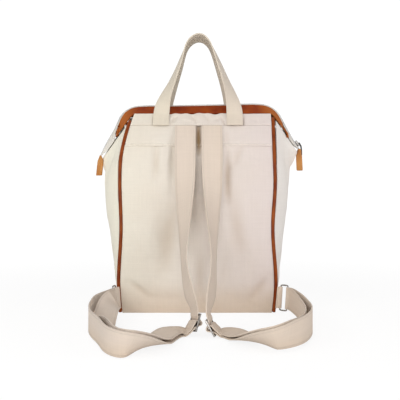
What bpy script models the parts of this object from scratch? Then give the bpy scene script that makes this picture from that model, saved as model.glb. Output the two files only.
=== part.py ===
"""A canvas backpack with a straight zipped frame mouth, seen in the photograph from the back.

Metres, +Z up. The origin is the middle of the base's underside, on the floor. The back panel and the
shoulder straps face -Y, the front panel faces +Y, and the wearer's left side is -X.
"""

import math

import bmesh
import bpy
from mathutils import Vector

# Bag body: driving sizes
BODY_WIDTH = 0.276
BODY_DEPTH = 0.160
BODY_HEIGHT = 0.365
YOKE_HEIGHT = 0.301
HEM_HEIGHT = 0.341
CANVAS = 0.0018
HEM_THICKNESS = 0.0034
BASE_THICKNESS = 0.0025
SEAM_GAP = 0.0003
PIPING_RADIUS = 0.0030
PIPING_FOOT = 0.0020

# Mouth and zip
MOUTH_SPREAD = 0.188
NOTCH_DEPTH = 0.006
CORNER_DROP = 0.009
ZIP_HEIGHT = 0.3855
TAPE_HALF = 0.0125
TAPE_THICKNESS = 0.0010
TAPE_DROP = 0.0020
TEETH_WIDTH = 0.0044
TEETH_HEIGHT = 0.0022
TRIM_THICKNESS = 0.0016
TRIM_SEAT = 0.0016
END_TAB_LENGTH = 0.026
END_TAB_WIDTH = 0.012
END_TAB_THICKNESS = 0.0045
SLIDER_LENGTH = 0.0120
SLIDER_WIDTH = 0.0088
SLIDER_HEIGHT = 0.0036
PULL_LENGTH = 0.024
PULL_WIDTH = 0.0075
PULL_THICKNESS = 0.0018

# Webbing: handles and shoulder straps
HANDLE_WIDTH = 0.030
HANDLE_THICKNESS = 0.0024
HANDLE_SPACING = 0.137
HANDLE_HEIGHT = 0.5155
WEBBING_WIDTH = 0.038
WEBBING = 0.0018
STRAP_SPACING = 0.049
STRAP_REACH = 0.320

# Strap hardware
WIRE = 0.0030
RING_OPENING = 0.0120
RING_EASE = 0.0018
TAB_LENGTH = 0.0100
RING_HEIGHT = 0.0290
ADJUSTER_PITCH = 0.0125
ADJUSTER_BAR = 0.0022
ADJUSTER_EASE = 0.0019
ADJUSTER_SIDE = 0.0030
LAYER_PITCH = {"left": 0.0060, "right": 0.0045}

HALF_WIDTH = BODY_WIDTH / 2
HALF_DEPTH = BODY_DEPTH / 2

# Each row of a table below is one section, and its lengths are shares of the sizes named in its heading.

# Corner seams: height of BODY_HEIGHT; left, right and front corners of HALF_WIDTH; lean of HALF_DEPTH
CORNERS = [
    # height, left, right, front, lean
    (0.00, 1.004, 0.993, 1.000, 0.975),
    (0.15, 1.028, 1.022, 1.020, 1.020),
    (0.41, 0.993, 0.978, 1.000, 1.030),
    (0.62, 1.014, 1.014, 1.010, 0.965),
    (0.76, 1.014, 1.014, 1.014, 0.850),
    (0.85, 0.978, 1.014, 1.014, 0.725),
    (0.93, 0.934, 1.018, 1.018, 0.550),
    (1.00, 0.886, 1.022, 1.020, 0.350),
]

# Soft folds in the back panel: middle across of HALF_WIDTH, foot and top of BODY_HEIGHT, slant and
# breadth of HALF_WIDTH, and depth of BODY_DEPTH, where a plus sinks into the bag
BACK_FOLDS = [
    # middle, foot, top, slant, breadth, depth
    (-0.33, 0.50, 0.86, 0.05, 0.10, 0.018),
    (0.40, 0.36, 0.88, -0.10, 0.12, 0.026),
    (-0.26, 0.06, 0.56, 0.16, 0.20, 0.024),
    (0.20, 0.02, 0.42, -0.14, 0.18, 0.018),
    (0.02, 0.40, 0.90, 0.00, 0.22, -0.020),
    (-0.82, 0.03, 0.17, -0.60, 0.16, 0.022),
    (0.86, 0.02, 0.20, 0.50, 0.14, 0.024),
]

# Puckers of the back hem: middle of HALF_WIDTH, breadth of HALF_WIDTH, rise and push of HEM_THICKNESS
HEM_PUCKERS = [
    # middle, breadth, rise, push
    (-0.60, 0.10, -0.3, -0.5),
    (-0.37, 0.07, -0.8, -0.9),
    (-0.10, 0.12, 0.2, 0.7),
    (0.12, 0.10, -0.3, -0.6),
    (0.28, 0.09, 0.4, 0.5),
    (0.62, 0.06, -0.4, -0.9),
]

# The zip's line: run, -1 at the left end and 1 at the right; across of MOUTH_SPREAD, height of ZIP_HEIGHT
ZIP_LINE = [
    # run, across, height
    (-1.00, -1.000, 0.742),
    (-0.86, -0.932, 0.812),
    (-0.74, -0.850, 0.880),
    (-0.64, -0.782, 0.950),
    (-0.56, -0.690, 0.985),
    (-0.46, -0.575, 0.996),
    (-0.22, -0.290, 0.998),
    (0.22, 0.290, 1.003),
    (0.46, 0.600, 1.006),
    (0.56, 0.728, 0.995),
    (0.64, 0.824, 0.960),
    (0.74, 0.905, 0.890),
    (0.86, 0.978, 0.826),
    (1.00, 1.048, 0.775),
]
MOUTH_CORNER_RUN = 0.56
TRIM_TIP_RUN = 0.775
TAPE_TIP_RUN = 1.06
NOTCH_SHARE = 0.44

# Carry handle: across of half HANDLE_SPACING, height from HEM_HEIGHT to HANDLE_HEIGHT, turn in degrees
HANDLE_LINE = [
    # across, height, turn
    (-0.99, 0.00, 0),
    (-0.99, 0.08, 0),
    (-0.98, 0.16, 3),
    (-0.91, 0.29, 34),
    (-0.70, 0.49, 62),
    (-0.50, 0.70, 74),
    (-0.37, 0.86, 84),
    (-0.24, 0.945, 88),
    (-0.08, 0.99, 90),
    (0.05, 1.00, 90),
    (0.18, 0.985, 90),
    (0.32, 0.935, 87),
    (0.43, 0.86, 82),
    (0.60, 0.70, 70),
    (0.79, 0.49, 60),
    (0.95, 0.29, 34),
    (1.01, 0.16, 3),
    (1.01, 0.08, 0),
    (1.01, 0.00, 0),
]

# Upper strap: height of HEM_HEIGHT, across of half STRAP_SPACING, reach out of STRAP_REACH, turn in degrees
STRAP_DROP = {
    "left": [
        (0.850, 0.92, -0.027, 0),
        (0.704, 0.90, 0.037, 20),
        (0.572, 0.90, 0.113, 42),
        (0.440, 0.90, 0.197, 62),
        (0.308, 0.88, 0.330, 78),
        (0.235, 0.74, 0.430, 78),
        (0.175, 0.50, 0.500, 76),
    ],
    "right": [
        (0.850, 1.08, -0.027, 0),
        (0.704, 1.07, 0.037, 20),
        (0.572, 1.06, 0.113, 44),
        (0.440, 1.06, 0.197, 64),
        (0.308, 1.08, 0.340, 77),
        (0.230, 1.04, 0.455, 76),
        (0.165, 0.85, 0.540, 76),
    ],
}

# Adjusters: middle across of half STRAP_SPACING, reach of STRAP_REACH and height of WEBBING_WIDTH, then
# the directions down the strap and across it, with x outwards
ADJUSTERS = {
    "left": (0.17, 0.540, 0.46, (0.25, -0.25, -0.93), (0.25, 0.93, -0.12)),
    "right": (0.92, 0.570, 0.36, (0.50, -0.12, -0.86), (0.15, 0.98, -0.05)),
}


# Strap loops on the floor, from the adjuster to the ring: across of HALF_WIDTH, reach of STRAP_REACH,
# turn in degrees from upright, and lift of the lower edge of WEBBING_WIDTH
LOOP_INSIDE = {
    "left": [
        (0.150, 0.553, 96, 0.08),
        (0.228, 0.563, 96, 0.08),
        (0.304, 0.596, 95, 0.09),
        (0.358, 0.660, 93, 0.10),
        (0.396, 0.750, 90, 0.10),
        (0.448, 0.831, 80, 0.10),
        (0.522, 0.903, 58, 0.06),
        (0.610, 0.945, 32, 0.03),
        (0.712, 0.945, 12, 0.01),
        (0.819, 0.880, 2, 0.01),
        (0.905, 0.755, 8, 0.01),
        (0.972, 0.645, 36, 0.07),
        (1.033, 0.535, 70, 0.23),
        (1.055, 0.425, 84, 0.44),
        (1.062, 0.315, 84, 0.62),
        (1.058, 0.225, 62, 0.54),
        (1.040, 0.160, 28, 0.36),
    ],
    "right": [
        (0.290, 0.573, 96, 0.08),
        (0.375, 0.588, 96, 0.08),
        (0.452, 0.645, 92, 0.08),
        (0.516, 0.712, 86, 0.08),
        (0.575, 0.786, 76, 0.08),
        (0.655, 0.850, 58, 0.06),
        (0.764, 0.893, 34, 0.03),
        (0.899, 0.850, 10, 0.01),
        (1.051, 0.757, 0, 0.01),
        (1.160, 0.622, 0, 0.01),
        (1.218, 0.469, 0, 0.01),
        (1.232, 0.331, 0, 0.04),
        (1.217, 0.206, 0, 0.16),
    ],
}
LOOP_OUTSIDE = {
    "left": [
        (0.146, 0.556, 96, 0.02),
        (0.226, 0.571, 96, 0.03),
        (0.287, 0.612, 95, 0.05),
        (0.337, 0.683, 93, 0.07),
        (0.376, 0.766, 90, 0.09),
        (0.421, 0.859, 80, 0.09),
        (0.488, 0.940, 58, 0.06),
        (0.590, 0.998, 32, 0.03),
        (0.722, 1.003, 12, 0.01),
        (0.880, 0.915, 2, 0.01),
        (1.000, 0.756, 0, 0.01),
        (1.145, 0.600, 0, 0.01),
        (1.224, 0.456, 0, 0.01),
        (1.254, 0.322, 0, 0.03),
        (1.238, 0.206, 4, 0.11),
        (1.125, 0.125, 10, 0.21),
    ],
    "right": [
        (0.283, 0.576, 96, 0.02),
        (0.365, 0.594, 96, 0.03),
        (0.436, 0.655, 92, 0.05),
        (0.492, 0.728, 86, 0.07),
        (0.540, 0.806, 76, 0.10),
        (0.616, 0.884, 58, 0.12),
        (0.746, 0.941, 34, 0.12),
        (0.920, 0.884, 10, 0.11),
        (1.087, 0.784, 0, 0.11),
        (1.217, 0.631, 0, 0.08),
        (1.290, 0.469, 0, 0.03),
        (1.304, 0.331, 0, 0.05),
        (1.275, 0.212, 0, 0.16),
    ],
}

# Where the loop's two layers part, as a row of its tables
PLIES_PART = {"left": 7.5, "right": 6.5}

# Rings: direction out of the corner in degrees, 0 sideways and 90 straight back, and lean in degrees
RINGS = {"left": (78, 9), "right": (38, 7)}


def row_at(table, place):
    """The table's other columns where its first is at this place, on a smooth curve through its rows."""
    rising = table if table[0][0] < table[-1][0] else table[::-1]
    place = min(max(place, rising[0][0]), rising[-1][0])
    above = next(i for i in range(1, len(rising)) if place <= rising[i][0])
    before, low = rising[max(above - 2, 0)], rising[above - 1]
    high, after = rising[above], rising[min(above + 1, len(rising) - 1)]
    span = high[0] - low[0]
    t = (place - low[0]) / span
    found = []
    for column in range(1, len(low)):
        start = (high[column] - before[column]) / (high[0] - before[0]) * span
        end = (after[column] - low[column]) / (after[0] - low[0]) * span
        found.append(
            (2 * t**3 - 3 * t**2 + 1) * low[column]
            + (t**3 - 2 * t**2 + t) * start
            + (3 * t**2 - 2 * t**3) * high[column]
            + (t**3 - t**2) * end
        )
    return found


def smooth_line(points, steps):
    """Points on a smooth curve through these, with this many steps from each to the next."""
    table = [(i, *point) for i, point in enumerate(points)]
    count = (len(points) - 1) * steps
    return [Vector(row_at(table, i / steps)) for i in range(count + 1)]


def ease(share):
    """0 to 1 with level ends."""
    share = min(max(share, 0.0), 1.0)
    return share * share * (3 - 2 * share)


def mix(a, b, share):
    return a + (b - a) * share


def shares(count):
    return [i / count for i in range(count + 1)]


# Scene, collection and materials

for old in list(bpy.data.objects):
    bpy.data.objects.remove(old)

backpack = bpy.data.collections.new("canvas_backpack")
bpy.context.scene.collection.children.link(backpack)


def material(name, colour, roughness, metallic=0.0):
    made = bpy.data.materials.new(name)
    made.use_nodes = True
    shader = made.node_tree.nodes["Principled BSDF"]
    shader.inputs["Base Color"].default_value = (*colour, 1.0)
    shader.inputs["Roughness"].default_value = roughness
    shader.inputs["Metallic"].default_value = metallic
    return made


CREAM_CANVAS = material("cream_canvas", (0.71, 0.63, 0.54), 0.9)
CREAM_WEBBING = material("cream_webbing", (0.70, 0.60, 0.48), 0.9)
TAN_LEATHER = material("tan_leather", (0.25, 0.055, 0.012), 0.45)
CREAM_TAPE = material("cream_tape", (0.76, 0.73, 0.66), 0.9)
NICKEL = material("nickel", (0.62, 0.60, 0.57), 0.25, 1.0)


def add_object(name, data, finish):
    data.materials.append(finish)
    made = bpy.data.objects.new(name, data)
    backpack.objects.link(made)
    return made


def add_sheet(name, place, columns, rows, thickness, finish):
    """A cloth or leather wall: place(across, up) gives its outer face at two shares, Solidify its thickness.

    Seen from outside, across runs to the right and up runs upwards.
    """
    grid = [[place(a, b) for a in columns] for b in rows]
    wide = len(columns)
    faces = [
        (r * wide + c, r * wide + c + 1, (r + 1) * wide + c + 1, (r + 1) * wide + c)
        for r in range(len(rows) - 1)
        for c in range(wide - 1)
    ]
    mesh = bpy.data.meshes.new(name)
    mesh.from_pydata([point for line in grid for point in line], [], faces)
    mesh.shade_smooth()
    made = add_object(name, mesh, finish)
    wall = made.modifiers.new("wall", "SOLIDIFY")
    wall.thickness = thickness
    wall.offset = -1.0
    return made


def way(points, index):
    """The direction of a line at one of its points, halfway between the steps before and after it."""
    before = points[index] - points[max(index - 1, 0)]
    after = points[min(index + 1, len(points) - 1)] - points[index]
    return (before.normalized() + after.normalized()).normalized()


def add_ribbon(name, stations, width, thickness, finish, square=True):
    """A strip along stations of (middle, across), with flat ends and its two faces split along like diagonals.

    Where square is set, its width is turned square to its line.
    """
    mesh = bmesh.new()
    middles = [middle for middle, _ in stations]
    rings = []
    for i, (middle, across) in enumerate(stations):
        along = way(middles, i)
        side = across - along * across.dot(along) if square else across.copy()
        side = side.normalized() * width / 2
        face = along.cross(side).normalized() * thickness / 2
        corners = (middle - side - face, middle + side - face, middle + side + face, middle - side + face)
        rings.append([mesh.verts.new(corner) for corner in corners])
    for low, high in zip(rings, rings[1:]):
        first = (low[0].co - high[1].co).length < (low[1].co - high[0].co).length
        for k in range(4):
            a, b, c, d = low[k], low[(k + 1) % 4], high[(k + 1) % 4], high[k]
            split = ((a, b, c), (a, c, d)) if first == (k < 2) else ((a, b, d), (b, c, d))
            for corners in split:
                mesh.faces.new(corners)
    mesh.faces.new(rings[0][::-1])
    mesh.faces.new(rings[-1])
    if mesh.calc_volume(signed=True) < 0:
        bmesh.ops.reverse_faces(mesh, faces=mesh.faces)
    data = bpy.data.meshes.new(name)
    mesh.to_mesh(data)
    mesh.free()
    return add_object(name, data, finish)


def add_wire(name, points, radius, finish, closed=False):
    """A round wire or cord of leather along points."""
    curve = bpy.data.curves.new(name, "CURVE")
    curve.dimensions = "3D"
    curve.bevel_depth = radius
    curve.bevel_resolution = 2
    curve.use_fill_caps = True
    spline = curve.splines.new("POLY")
    spline.points.add(len(points) - 1)
    for slot, point in zip(spline.points, points):
        slot.co = (*point, 1.0)
    spline.use_cyclic_u = closed
    return add_object(name, curve, finish)


# Bag body: the four corner seams and the surfaces between them


def corner_at(side, face, height):
    """The seam's middle line at a height: side -1 left and 1 right, face -1 back and 1 front."""
    left, right, front, lean = row_at(CORNERS, height / BODY_HEIGHT)
    spread = front if face > 0 else (left if side < 0 else right)
    return Vector((side * spread * HALF_WIDTH, face * lean * HALF_DEPTH, height))


def corner_top(side, face):
    """How high the gusset's own edge reaches on this seam, a little under the hem's top."""
    return BODY_HEIGHT - CORNER_DROP * (1.3 if side < 0 and face < 0 else 0.6)


def fold_depth(across, height):
    """How far the back panel sinks in at a share across and a height, from its table of folds."""
    up = height / BODY_HEIGHT
    depth = 0.0
    for middle, foot, top, slant, breadth, share in BACK_FOLDS:
        along = (up - foot) / (top - foot)
        if 0 < along < 1:
            offset = (across - middle - slant * (along - 0.5)) / breadth
            depth += share * BODY_DEPTH * math.sin(math.pi * along) * math.exp(-offset * offset)
    return depth


def wall_point(face, across, height):
    """The middle of the back or front wall's cloth; across is -1 at the left seam and 1 at the right."""
    left, right = corner_at(-1, face, height), corner_at(1, face, height)
    point = mix(left, right, (across + 1) / 2)
    up = height / BODY_HEIGHT
    swell = 0.045 * BODY_DEPTH * math.sin(math.pi * min(up / 0.9, 1.0)) * (1 - across**4)
    sink = fold_depth(across, height) * (1 - across**6) if face < 0 else 0.0
    point.y += face * (swell - sink)
    return point


def wall_normal(face, across, height):
    """The wall's outward direction."""
    low, high = wall_point(face, across, height - 0.004), wall_point(face, across, height + 0.004)
    left, right = wall_point(face, across - 0.03, height), wall_point(face, across + 0.03, height)
    return face * (high - low).cross(right - left).normalized()


def wall_seat(side, face, height):
    """The share across at which a wall's edge lies against the piping."""
    width = corner_at(1, face, height).x - corner_at(-1, face, height).x
    return side * (1 - 2 * (PIPING_RADIUS * 1.06 + SEAM_GAP) / width)


def wall_sheet(name, face, foot, top, columns, rows, thickness, finish=CREAM_CANVAS, shape=None):
    """A panel of the back or front wall between two heights."""

    def place(a, b):
        height = mix(foot, top, b)
        across = mix(wall_seat(-1, face, height), wall_seat(1, face, height), a if face < 0 else 1 - a)
        point = wall_point(face, across, height) + wall_normal(face, across, height) * thickness / 2
        return shape(point, across, b) if shape else point

    return add_sheet(name, place, shares(columns), shares(rows), thickness, finish)


def hem_shape(point, across, up):
    """Lets the back hem pucker at its top edge between the handles."""
    for middle, breadth, rise, push in HEM_PUCKERS:
        weight = math.exp(-(((across - middle) / breadth) ** 2))
        point.y -= push * HEM_THICKNESS * 0.5 * weight * up * (1 - up) * 3
        point.z += rise * HEM_THICKNESS * 0.5 * weight * up
    return point


wall_sheet("back_panel", -1, 0.0, YOKE_HEIGHT - SEAM_GAP / 2, 18, 18, CANVAS)
wall_sheet("back_yoke", -1, YOKE_HEIGHT + SEAM_GAP / 2, HEM_HEIGHT - SEAM_GAP / 2, 16, 3, CANVAS)
wall_sheet("back_hem", -1, HEM_HEIGHT + SEAM_GAP / 2, BODY_HEIGHT, 30, 3, HEM_THICKNESS, shape=hem_shape)
wall_sheet("front_panel", 1, 0.0, HEM_HEIGHT - SEAM_GAP / 2, 12, 16, CANVAS)
wall_sheet("front_hem", 1, HEM_HEIGHT + SEAM_GAP / 2, BODY_HEIGHT, 12, 2, HEM_THICKNESS)


# Side gussets: a chord between the two seams, pushed out to the notch where the zip ends


def zip_point(run):
    across, height = row_at(ZIP_LINE, run)
    return Vector((across * MOUTH_SPREAD, 0.0, height * ZIP_HEIGHT))


def zip_outward(run):
    """The unit normal of the zip's line, pointing away from the bag."""
    step = 0.02
    along = zip_point(min(run + step, 1)) - zip_point(max(run - step, -1))
    return Vector((-along.z, 0, along.x)).normalized()


def notch(side):
    """The lowest point of the gusset's top edge, just inside the end of the zip."""
    return zip_point(side) - zip_outward(side) * NOTCH_DEPTH


def gusset_push(side):
    tops = [corner_at(side, face, corner_top(side, face)) for face in (-1, 1)]
    return notch(side) - (tops[0] + tops[1]) / 2


def gusset_point(side, depth, up):
    """The middle of the gusset's cloth: depth from 0 at the back seam to 1 at the front, up from 0 to 1."""
    back = corner_at(side, -1, corner_top(side, -1) * up)
    front = corner_at(side, 1, corner_top(side, 1) * up)
    chord = mix(back, front, depth)
    peak = 1 - abs(2 * depth - 1)
    round_out = math.sin(math.pi * depth) ** 0.8
    sharp = up**3
    belly = 0.043 * (1 - up) + 0.100 * math.sin(math.pi * min(up / 0.85, 1))
    bulge = belly * HALF_WIDTH * math.sin(math.pi * depth)
    pushed = gusset_push(side) * up**2 * mix(round_out, peak, sharp)
    return chord + pushed + Vector((side * bulge, 0, 0))


def gusset_sheet(name, side):
    def place(a, b):
        depth = a if side > 0 else 1 - a
        length = (corner_at(side, 1, 0.1).y - corner_at(side, -1, 0.1).y) * (1 - 0.62 * b)
        inset = (PIPING_RADIUS * 1.05 + SEAM_GAP + CANVAS * 0.05) / length
        point = gusset_point(side, mix(inset, 1 - inset, depth), b)
        point.x += side * CANVAS / 2
        return point

    columns = [0.5 - 0.5 * math.cos(math.pi * share) * (1.0) for share in shares(12)]
    return add_sheet(name, place, columns, shares(16), CANVAS, CREAM_CANVAS)


gusset_sheet("gusset_left", -1)
gusset_sheet("gusset_right", 1)


# Base: a flat panel inside the foot of the four walls


def base_outline():
    inset = CANVAS / 2 + SEAM_GAP * 2
    points = []
    for face, side in ((-1, 1), (1, -1)):
        for share in shares(6):
            across = side * mix(-0.94, 0.94, share)
            wall = wall_point(face, across, 0.0)
            points.append((wall.x, wall.y - face * inset))
        for share in shares(4):
            depth = mix(0.10, 0.90, share if side > 0 else 1 - share)
            edge = gusset_point(side, depth, 0.0)
            points.append((edge.x - side * inset, edge.y))
    return points


base = bmesh.new()
floor_face = base.faces.new([base.verts.new((x, y, 0.0)) for x, y in base_outline()])
lifted = bmesh.ops.extrude_face_region(base, geom=[floor_face])
for vert in [item for item in lifted["geom"] if isinstance(item, bmesh.types.BMVert)]:
    vert.co.z += BASE_THICKNESS
bmesh.ops.recalc_face_normals(base, faces=base.faces)
base_mesh = bpy.data.meshes.new("base_panel")
base.to_mesh(base_mesh)
base.free()
add_object("base_panel", base_mesh, CREAM_CANVAS)


# Piping: a leather cord sewn into each corner seam

for side, face, name in (
    (-1, -1, "piping_back_left"),
    (1, -1, "piping_back_right"),
    (-1, 1, "piping_front_left"),
    (1, 1, "piping_front_right"),
):
    top = corner_top(side, face) - PIPING_RADIUS
    heights = [mix(PIPING_FOOT, top, share) for share in shares(22)]
    add_wire(name, [corner_at(side, face, height) for height in heights], PIPING_RADIUS, TAN_LEATHER)


# Mouth: the canvas edge, the zip line above it, the tapes and the leather trims between them


def mouth_edge(face, run):
    """The canvas edge beside the zip at this run: along the hem, or down a gusset's edge."""
    side = -1 if run < 0 else 1
    beyond = (abs(run) - MOUTH_CORNER_RUN) / (1 - MOUTH_CORNER_RUN)
    if beyond <= 0:
        across = run / MOUTH_CORNER_RUN
        seat = abs(wall_seat(side, face, BODY_HEIGHT))
        point = wall_point(face, across * seat, BODY_HEIGHT)
        return hem_shape(point, across * seat, 1.0) if face < 0 else point
    depth = NOTCH_SHARE * beyond
    edge = gusset_point(side, depth if face < 0 else 1 - depth, 1.0)
    hem_end = wall_point(face, side * abs(wall_seat(side, face, BODY_HEIGHT)), BODY_HEIGHT)
    return mix(hem_end, edge, ease(beyond / 0.12))


def tape_edge(face, run):
    """The outer edge of the zip's tape: flat on top of the mouth, and on the gusset's edge at the ends."""
    flat = ease((TAPE_TIP_RUN - abs(run)) / (TAPE_TIP_RUN - MOUTH_CORNER_RUN))
    flat *= 1 - ease((abs(run) - TRIM_TIP_RUN) / 0.04)
    top = zip_point(run) - zip_outward(run) * TAPE_DROP
    top.y = face * TAPE_HALF
    edge = mouth_edge(face, run) + zip_outward(run) * (SEAM_GAP + CANVAS)
    return mix(edge, top, flat)


def tape_place(face):
    def place(a, b):
        run = mix(-0.985, 0.985, a if face < 0 else 1 - a)
        inner = zip_point(run) - zip_outward(run) * (TEETH_HEIGHT * 0.3)
        inner.y = face * (TEETH_WIDTH / 2 + SEAM_GAP + TAPE_THICKNESS * 0.8)
        return mix(tape_edge(face, run), inner, b)

    return place


def trim_place(face):
    def place(a, b):
        run = mix(-TRIM_TIP_RUN, TRIM_TIP_RUN, a if face < 0 else 1 - a)
        low, high = mouth_edge(face, run), tape_edge(face, run)
        on_gusset = ease((abs(run) - MOUTH_CORNER_RUN + 0.04) / 0.06)
        low += zip_outward(run) * (SEAM_GAP + CANVAS / 2 + TRIM_THICKNESS) * on_gusset
        rise = (high - low).normalized()
        low, high = low + rise * (SEAM_GAP + TRIM_SEAT), high - rise * (SEAM_GAP + TAPE_THICKNESS * 1.6)
        return mix(low, high, b)

    return place


for face, name in ((-1, "back"), (1, "front")):
    add_sheet("zip_tape_" + name, tape_place(face), shares(48), shares(1), TAPE_THICKNESS, CREAM_TAPE)
    add_sheet("mouth_trim_" + name, trim_place(face), shares(40), shares(3), TRIM_THICKNESS, TAN_LEATHER)

teeth_runs = [mix(-0.985, 0.985, share) for share in shares(60)]
add_ribbon(
    "zip_teeth",
    [(zip_point(run), Vector((0, 1, 0))) for run in teeth_runs],
    TEETH_WIDTH,
    TEETH_HEIGHT,
    CREAM_TAPE,
)


# Zip slider, its pull and the leather tab at each end of the zip

SLIDER_RUN = 0.915
slider_out = zip_outward(SLIDER_RUN)
slider_along = Vector((slider_out.z, 0, -slider_out.x))
slider_middle = zip_point(SLIDER_RUN) + slider_out * (TEETH_HEIGHT / 2 + SEAM_GAP + SLIDER_HEIGHT / 2)
slider_line = [slider_middle + slider_along * SLIDER_LENGTH * share for share in (-0.5, -0.2, 0.2, 0.5)]
add_ribbon(
    "zip_slider",
    [(point, Vector((0, 1, 0))) for point in slider_line],
    SLIDER_WIDTH,
    SLIDER_HEIGHT,
    NICKEL,
)

pull_top = slider_middle + slider_out * (SLIDER_HEIGHT / 2 + SEAM_GAP + PULL_THICKNESS * 0.6)
pull_turn = pull_top + slider_along * (SLIDER_LENGTH / 2 + PULL_THICKNESS)
pull_line = [pull_top, mix(pull_top, pull_turn, 0.5), pull_turn]
hanging = PULL_LENGTH - SLIDER_LENGTH / 2
for share in (0.12, 0.40, 0.70, 0.92, 1.0):
    pull_line.append(pull_turn + Vector((0.06 + 0.10 * (1 - share), 0, -1)) * hanging * share)
pull_stations = [(point, Vector((0, 1, 0))) for point in pull_line]
add_ribbon("zip_pull", pull_stations, PULL_WIDTH, PULL_THICKNESS, NICKEL)

for side, name in ((-1, "zip_end_tab_left"), (1, "zip_end_tab_right")):
    top = zip_point(side) + Vector((-side * 0.0024, 0, -0.0045))
    line = [top + Vector((-side * 0.08, 0, -1)) * END_TAB_LENGTH * share for share in shares(4)]
    tab_stations = [(point, Vector((0, 1, 0))) for point in line]
    add_ribbon(name, tab_stations, END_TAB_WIDTH, END_TAB_THICKNESS, TAN_LEATHER)


# Carry handles: webbing sewn under the hem, turned on edge where the hand holds it


def wall_y(face, x, height):
    """Where the middle of a wall's cloth lies at this x and height."""
    left, right = corner_at(-1, face, height), corner_at(1, face, height)
    return wall_point(face, 2 * (x - left.x) / (right.x - left.x) - 1, height).y


def handle_stations(face):
    stations = []
    for across, height, turn in smooth_line(HANDLE_LINE, 2):
        z = mix(HEM_HEIGHT + SEAM_GAP, HANDLE_HEIGHT, height)
        x = across * HANDLE_SPACING / 2
        clear = (HEM_THICKNESS + HANDLE_THICKNESS) / 2 + SEAM_GAP * (7 if face < 0 else 5)
        seat = wall_y(face, x, min(z, BODY_HEIGHT)) + face * clear
        top = face * (HANDLE_WIDTH / 2 + SEAM_GAP * 2)
        y = mix(seat, top, ease((height - 0.12) / 0.75))
        angle = math.radians(turn)
        climb = -1 if across > 0 else 1
        stations.append((Vector((x, y, z)), Vector((climb * math.cos(angle), face * math.sin(angle), 0))))
    return stations


add_ribbon("handle_back", handle_stations(-1), HANDLE_WIDTH, HANDLE_THICKNESS, CREAM_WEBBING)
add_ribbon("handle_front", handle_stations(1), HANDLE_WIDTH, HANDLE_THICKNESS, CREAM_WEBBING)


# Shoulder straps, worked out with x outwards for both sides and mirrored at the end


def outward_corner(side):
    corner = corner_at(side, -1, RING_HEIGHT)
    return Vector((corner.x * side, corner.y, corner.z))


def ring_frame(side, name):
    """The ring's inner bar middle, and its directions away from the bag, outward and up its bars."""
    angle, lean = (math.radians(value) for value in RINGS[name])
    away = Vector((math.cos(angle), -math.sin(angle), 0))
    level = Vector((math.sin(angle), math.cos(angle), 0))
    up = Vector((0, 0, 1)) * math.cos(lean) + level * math.sin(lean)
    outer = level * math.cos(lean) - Vector((0, 0, 1)) * math.sin(lean)
    return outward_corner(side) + away * TAB_LENGTH, away, outer, up


def wrap(centre, start, turn, radius, degrees, steps):
    """Points round a bar: the first lies from its centre towards start, and the rest go on towards turn."""
    points = []
    for share in shares(steps):
        angle = math.radians(mix(degrees[0], degrees[1], share))
        points.append(centre + (start * math.cos(angle) + turn * math.sin(angle)) * radius)
    return points


def drop_stations(name):
    """The strap from its seam down to the adjuster, never closer to the bag than against its cloth."""
    side = -1 if name == "left" else 1
    first = STRAP_DROP[name][0]
    rows = [(mix(0.999, YOKE_HEIGHT / HEM_HEIGHT, share), first[1], -1.0, 0) for share in shares(3)]
    rows += smooth_line(STRAP_DROP[name], 2)
    stations = []
    for height, across, reach, turn in rows:
        x, z = across * STRAP_SPACING / 2, height * HEM_HEIGHT
        swing = WEBBING_WIDTH / 2 * math.sin(math.radians(turn))
        seat = min(wall_y(-1, side * x + edge, z) for edge in (-0.012, 0, 0.012))
        seat -= CANVAS / 2 + WEBBING * 0.6 + SEAM_GAP * 2 + swing
        stations.append((Vector((x, min(seat, -HALF_DEPTH - reach * STRAP_REACH), z)), math.radians(turn)))
    found = []
    for i, (middle, turn) in enumerate(stations):
        along = stations[min(i + 1, len(stations) - 1)][0] - stations[max(i - 1, 0)][0]
        along.normalize()
        inward = Vector((-1, 0, 0))
        inward = (inward - along * inward.dot(along)).normalized()
        nearward = along.cross(inward)
        nearward *= -1 if nearward.y > 0 else 1
        found.append((middle, inward * math.cos(turn) + nearward * math.sin(turn)))
    return found


def loop_stations(table):
    """A layer of the loop on the floor, going from the adjuster to the ring."""
    rows = smooth_line(table, 2)
    middles = [Vector((row[0] * HALF_WIDTH, -HALF_DEPTH - row[1] * STRAP_REACH, 0)) for row in rows]
    stations = []
    for i, (middle, row) in enumerate(zip(middles, rows)):
        along = (middles[min(i + 1, len(rows) - 1)] - middles[max(i - 1, 0)]).normalized()
        outer = Vector((along.y, -along.x, 0))
        turn = math.radians(row[2])
        lift = row[3] * WEBBING_WIDTH + abs(math.cos(turn)) * WEBBING_WIDTH / 2 + WEBBING / 2
        across = Vector((0, 0, 1)) * math.cos(turn) + outer * math.sin(turn)
        stations.append((middle + Vector((0, 0, lift)), across))
    return stations


def beside(stations, index, gap):
    """The place of a second layer, a gap away from this station's layer on the inner side of its loop."""
    middle, across = stations[index]
    along = way([point for point, _ in stations], index)
    return middle + across.cross(along).normalized() * gap, across


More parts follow.
